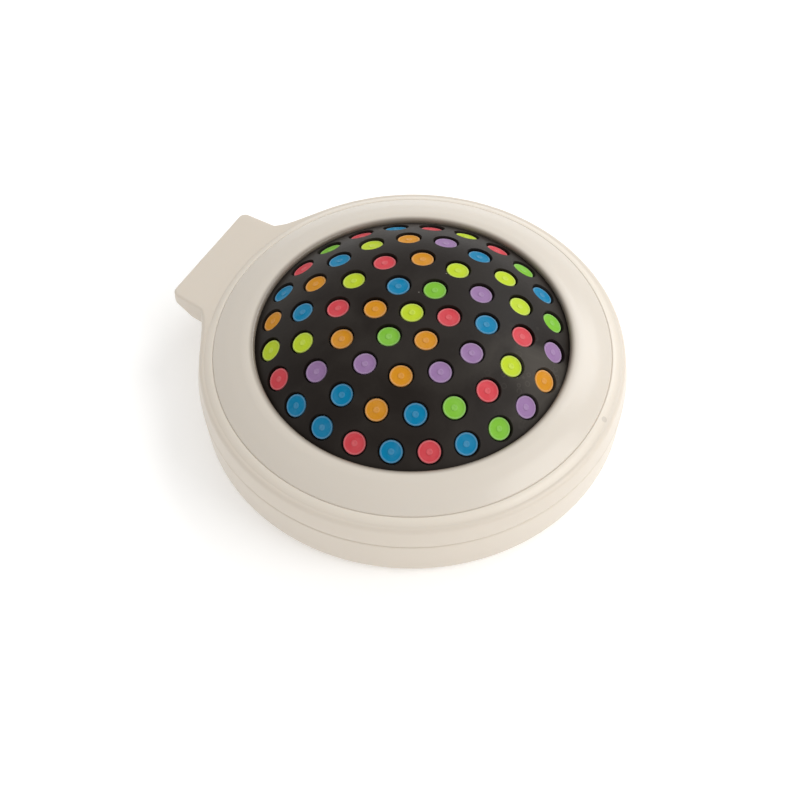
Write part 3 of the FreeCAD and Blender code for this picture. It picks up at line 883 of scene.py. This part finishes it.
firstAngle = -6.0
ringsOfBristles = [
    ("centre", 0.0, ["lime"]),
    ("centre", 5.98, ["green", "blue", "orange", "green", "orange", "red"]),
    ("centre", 12.14, ["lime", "orange", "red", "lime", "red", "orange",
                       "purple", "orange", "purple", "purple", "blue", "purple"]),
    ("middle", 18.07, ["blue", "purple", "orange", "lime", "blue", "orange", "blue", "lime", "purple",
                       "blue", "orange", "blue", "green", "red", "lime", "red", "lime", "lime"]),
    ("outer", 23.22, ["red", "lime", "red", "blue", "red", "green", "red", "blue", "orange", "lime",
                      "red", "blue", "blue", "red", "blue", "red", "blue", "green", "purple", "orange",
                      "purple", "green", "blue", "green"]),
]
dome = {
    "apex": 23.4,
    "drop": 6.37,
    "reach": 23.22,
    "power": 2.85,
    "thickness": 2.0,
    "headSink": 0.42,
    "flangeTop": 13.6,
    "flangeBottom": 12.5,
    "flangeRadius": 31.15,
    "steps": 288,
    "profileSteps": 60,
    "wellRadius": 2.14,
    "wellDepth": 1.24,
    "wellLip": (0.192, 0.208),
    "wellRise": 0.05,
    "snapShare": 0.85,
}


def domeTop(reach):
    return dome["apex"] - dome["drop"] * (reach / dome["reach"]) ** dome["power"]


def domeLean(reach):
    steepness = dome["drop"] * dome["power"] / dome["reach"]
    return math.atan(steepness * (reach / dome["reach"]) ** (dome["power"] - 1))


def seatMatrix(reach, degrees, sink):
    angle = math.radians(degrees)
    lean = domeLean(reach)
    outward = Vector((math.cos(angle), math.sin(angle), 0))
    normal = outward * math.sin(lean) + Vector((0, 0, math.cos(lean)))
    place = outward * reach + Vector((0, 0, domeTop(reach))) - normal * sink
    tangent = Vector((-math.sin(angle), math.cos(angle), 0))
    return Matrix.Translation(place * mm) @ Matrix.Rotation(lean, 4, tangent)


bristle = {
    "head": 1.85,
    "headThick": 0.8,
    "dish": 0.06,
    "rim": 0.26,
    "rimSlope": 0.06,
    "gate": (0.16, 0.52, 0.08),
    "gateSlope": 0.04,
    "gatePaleShare": 0.55,
    "crease": 0.05,
    "neck": 0.95,
    "barb": (1.3, 2.1, 2.9),
    "stem": (0.8, 0.55),
    "ball": 0.85,
    "length": 14.2,
    "steps": 36,
    "tiltSpread": 1.4,
    "sinkSpread": 0.05,
    "seed": 7,
}


def makeBristle(settings):
    dimple, gate, gateHigh = settings["gate"]
    dish, crease, gateSlope = settings["dish"], settings["crease"], settings["gateSlope"]
    rimStart = settings["head"] - settings["rim"]
    barbRadius, barbTop, barbLow = settings["barb"]
    ball, length = settings["ball"], settings["length"]
    ballZ = ball - length
    stemEnd = ballZ + math.sqrt(ball ** 2 - settings["stem"][1] ** 2)
    corners = [
        (0, gateHigh / 2 - dish, 0, 0),
        (dimple, gateHigh / 2 - dish, 0, 0),
        (dimple + 2 * gateSlope, gateHigh - dish, 0, 0),
        (gate - gateSlope, gateHigh - dish, crease, 2),
        (gate + gateSlope, -dish, crease, 2),
        (rimStart - settings["rimSlope"], -dish, crease, 2),
        (rimStart, 0, crease, 2),
        (settings["head"], 0, 0.12, 4),
        (settings["head"], -settings["headThick"], 0.1, 2),
        (settings["neck"], -settings["headThick"], 0, 0),
        (settings["neck"], -barbTop, 0, 0),
        (barbRadius, -barbTop, 0.08, 1),
        (settings["stem"][0], -barbLow, 0, 0),
        (settings["stem"][1], stemEnd, 0, 0),
    ]
    points = rounded(corners)
    start = math.atan2(stemEnd - ballZ, settings["stem"][1])
    for step in range(1, 8):
        angle = start + (-math.pi / 2 - start) * step / 7
        points.append(Vector((ball * math.cos(angle), ballZ + ball * math.sin(angle))))
    points[-1].x = 0
    piece = turn("bristleMaster", points, settings["steps"])
    smooth(piece, 40)
    # the rim of the head gets a painted highlight, and the gate mark is paler than the rest
    paintedRimAndPaleGate = piece.data.attributes.new("paintedRimAndPaleGate", "FLOAT", "POINT")
    for number, vertex in enumerate(piece.data.vertices):
        reach = Vector(vertex.co[:2]).length / mm
        onTop = vertex.co.z > -0.2 * mm
        onRim = onTop and reach > rimStart - 0.02
        onGate = onTop and reach < gate + 0.02
        paintedRimAndPaleGate.data[number].value = 1.0 if onRim else settings["gatePaleShare"] if onGate else 0.0
    return piece


def placeBristles():
    master = makeBristle(bristle)
    dice = random.Random(bristle["seed"])
    claimed = set()
    for area, reach, colours in ringsOfBristles:
        for number, colour in enumerate(colours, start=1):
            degrees = firstAngle + (number - 1) * 360 / len(colours)
            sink = dome["headSink"] + dice.uniform(-1, 1) * bristle["sinkSpread"]
            seat = seatMatrix(reach, degrees, sink)
            axis = Vector((dice.uniform(-1, 1), dice.uniform(-1, 1), 0)).normalized()
            tilt = Matrix.Rotation(math.radians(dice.uniform(0, bristle["tiltSpread"])), 4, axis)
            spin = Matrix.Rotation(dice.uniform(0, 2 * math.pi), 4, "Z")
            piece = master.copy()
            piece.data = master.data.copy()
            scene.collection.objects.link(piece)
            piece.data.transform(seat @ tilt @ spin)
            if area == "centre":
                node = f"bristles_centre_{colour}"
                piece.name = f"centreBristle.{len(claimed)}.{colour}.{reach:.0f}.{number:02d}"
                body = "centre_bristles"
            else:
                node = f"bristle_{area}_{number:02d}"
                piece.name = f"{area}Bristle{number:02d}"
                body = f"{node}_seat"
            nodes = [] if node in claimed else [node]
            claimed.add(node)
            finish(piece, nylon[colour], body, f"bristle_{colour}", *nodes)
    bpy.data.objects.remove(master)


placeBristles()
print("bristles made")


def makePad():
    end = dome["reach"] * ((dome["apex"] - dome["flangeTop"]) / dome["drop"]) ** (1 / dome["power"])
    outer, inner = [], []
    for step in range(dome["profileSteps"] + 1):
        reach = end * step / dome["profileSteps"]
        lean = domeLean(reach)
        outer.append(Vector((reach, domeTop(reach))))
        below = Vector((reach - dome["thickness"] * math.sin(lean),
                        domeTop(reach) - dome["thickness"] * math.cos(lean)))
        if below.y > dome["flangeBottom"] + 0.1:
            inner.append(below)
    flange = [
        Vector((dome["flangeRadius"], dome["flangeTop"])),
        Vector((dome["flangeRadius"], dome["flangeBottom"])),
        Vector((inner[-1].x + 0.35, dome["flangeBottom"])),
    ]
    pad = turn("rubberPad", outer + flange + inner[::-1], dome["steps"])
    seats = [seatMatrix(reach, firstAngle + number * 360 / len(colours), 0)
             for area, reach, colours in ringsOfBristles for number in range(len(colours))]
    # the cutter's side leans in over a soft lip before it drops straight to the well's floor
    lipWide, lipDeep = dome["wellLip"]
    points = [Vector((0, 1.0)), Vector((dome["wellRadius"] + lipWide, 1.0)),
              Vector((dome["wellRadius"] + lipWide, dome["wellRise"]))]
    for step in range(1, 6):
        angle = math.pi / 2 * step / 5
        points.append(Vector((dome["wellRadius"] + lipWide * (1 - math.sin(angle)),
                              dome["wellRise"] - lipDeep * (1 - math.cos(angle)) - 0.02 * step)))
    # the wells stop inside the rubber, which grips the necks below them
    points += [Vector((dome["wellRadius"], -dome["wellDepth"])), Vector((0, -dome["wellDepth"]))]
    well = turn("wellCutter", points, 48)
    wells = []
    for seat in seats:
        copy = well.copy()
        copy.data = well.data.copy()
        scene.collection.objects.link(copy)
        copy.data.transform(seat)
        wells.append(copy)
    bpy.data.objects.remove(well)
    deselectAll()
    for copy in wells:
        copy.select_set(True)
    bpy.context.view_layer.objects.active = wells[0]
    bpy.ops.object.join()
    combine(pad, [bpy.context.object], "DIFFERENCE")
    smooth(pad, 30)
    finish(pad, rubberBlack, None, "pad_rubber", "rubber_pad")
    # the whole thickness follows the outer face above it, so that the rubber turns inside out
    # without getting thinner: the blend is taken with each point raised to that face
    places = [vertex.co.copy() for vertex in pad.data.vertices]
    for vertex in pad.data.vertices:
        vertex.co.z = domeTop(inMm(Vector(vertex.co[:2]).length)) * mm
    rim = domeTop(ringShape["opening"])
    snapEnd = rim + dome["snapShare"] * (dome["apex"] - rim)
    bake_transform(pad, "brush_half", "centre_bristles", start=(0, 0, rim * mm), end=(0, 0, snapEnd * mm))
    for vertex, place in zip(pad.data.vertices, places):
        vertex.co = place
    return pad


makePad()
print("rubber pad made")


glassShape = {
    "radius": 30.0,
    "bottom": 1.95,
    "bevelWide": 1.6,
    "bevelDeep": 0.25,
    "edge": 0.15,
    "steps": 192,
}


def makeGlass(settings):
    corners = [
        (0, settings["bottom"], 0, 0),
        (settings["radius"], settings["bottom"], settings["edge"], 3),
        (settings["radius"], glassTop - settings["bevelDeep"], 0.05, 2),
        (settings["radius"] - settings["bevelWide"], glassTop, 0.3, 3),
        (0, glassTop, 0, 0),
    ]
    glass = turn("mirrorGlass", rounded(corners), settings["steps"])
    smooth(glass, 20)
    return finish(glass, mirrorSilver, "mirror_half", "mirror_silver", "mirror_glass")


makeGlass(glassShape)
for node, material in (("mirror_adhesive", mirrorTape), ("hinge_pin", hingeSteel)):
    frame["nodes"][node].data.materials.clear()
    frame["nodes"][node].data.materials.append(material)
print("mirror, tape and pin made")


studio = {
    "target": (0, 0, 13.2),
    "azimuth": -147.3,
    "elevation": 52.49,
    "distance": 383.1,
    "lens": 105.6,
    "sensor": 36.0,
    "shift": (-0.0154, -0.0628),
    "roll": -0.566,
    "floorSize": 6.0,  # metres, as are the lamps' sizes and places
    "floorRoughness": 0.9,
    "floorColour": (0.92, 0.92, 0.92),
    "floorGlow": 0.23,
    "skyLow": (0.88, 0.87, 0.85),
    "skyHigh": (0.70, 0.695, 0.685),
    "skyBand": (0.15, 0.65),
    "skyStrength": 1.0,
    "lampSize": {"keyLight": 0.60, "sideLight": 0.50},
    "lampPlace": {"keyLight": (0.12, -0.62, 0.50), "sideLight": (0.58, -0.12, 0.50)},
    "lampWatts": {"keyLight": 2.2, "sideLight": 1.85},
    "lampColour": {"keyLight": (1.0, 0.99, 0.975), "sideLight": (0.97, 0.99, 1.0)},
}


def makeFloor():
    deselectAll()
    bpy.ops.mesh.primitive_plane_add(size=studio["floorSize"])
    floor = bpy.context.object
    floor.name = "floor"
    material, tree, shader, place = newMaterial("paleFloor", studio["floorRoughness"])
    shader.inputs["Base Color"].default_value = (*studio["floorColour"], 1)
    shader.inputs["Specular IOR Level"].default_value = 0.0
    shader.inputs["Emission Color"].default_value = (1, 1, 1, 1)
    shader.inputs["Emission Strength"].default_value = studio["floorGlow"]
    floor.data.materials.append(material)


def makeWorld():
    # a pale backdrop all round and a dim ceiling
    world = bpy.data.worlds.new("studio")
    world.use_nodes = True
    tree = world.node_tree
    background = tree.nodes["Background"]
    background.inputs["Strength"].default_value = studio["skyStrength"]
    direction = tree.nodes.new("ShaderNodeTexCoord")
    parts = tree.nodes.new("ShaderNodeSeparateXYZ")
    tree.links.new(direction.outputs["Generated"], parts.inputs["Vector"])
    height = addRamp(tree, parts.outputs["Z"], *studio["skyBand"])
    tree.links.new(mixColours(tree, height, studio["skyLow"], studio["skyHigh"]),
                   background.inputs["Color"])
    scene.world = world


def makeLight(name):
    data = bpy.data.lights.new(name, "AREA")
    data.shape = "DISK"
    data.size = studio["lampSize"][name]
    data.energy = studio["lampWatts"][name]
    data.color = studio["lampColour"][name]
    lamp = bpy.data.objects.new(name, data)
    scene.collection.objects.link(lamp)
    lamp.location = studio["lampPlace"][name]
    lamp.rotation_euler = (-lamp.location).to_track_quat("-Z", "Y").to_euler()


def makeCamera():
    data = bpy.data.cameras.new("camera")
    data.lens = studio["lens"]
    data.sensor_width = studio["sensor"]
    data.shift_x, data.shift_y = studio["shift"]
    camera = bpy.data.objects.new("camera", data)
    scene.collection.objects.link(camera)
    azimuth, elevation = math.radians(studio["azimuth"]), math.radians(studio["elevation"])
    target = Vector(studio["target"]) * mm
    away = Vector((math.cos(elevation) * math.cos(azimuth), math.cos(elevation) * math.sin(azimuth),
                   math.sin(elevation)))
    camera.location = target + away * studio["distance"] * mm
    look = (-away).to_track_quat("-Z", "Y").to_matrix()
    roll = Matrix.Rotation(math.radians(studio["roll"]), 3, "Z")
    camera.rotation_euler = (look @ roll).to_euler()
    scene.camera = camera


makeFloor()
makeWorld()
for lampName in ("keyLight", "sideLight"):
    makeLight(lampName)
makeCamera()
scene.view_settings.view_transform = "Standard"
print("floor, light and camera made")
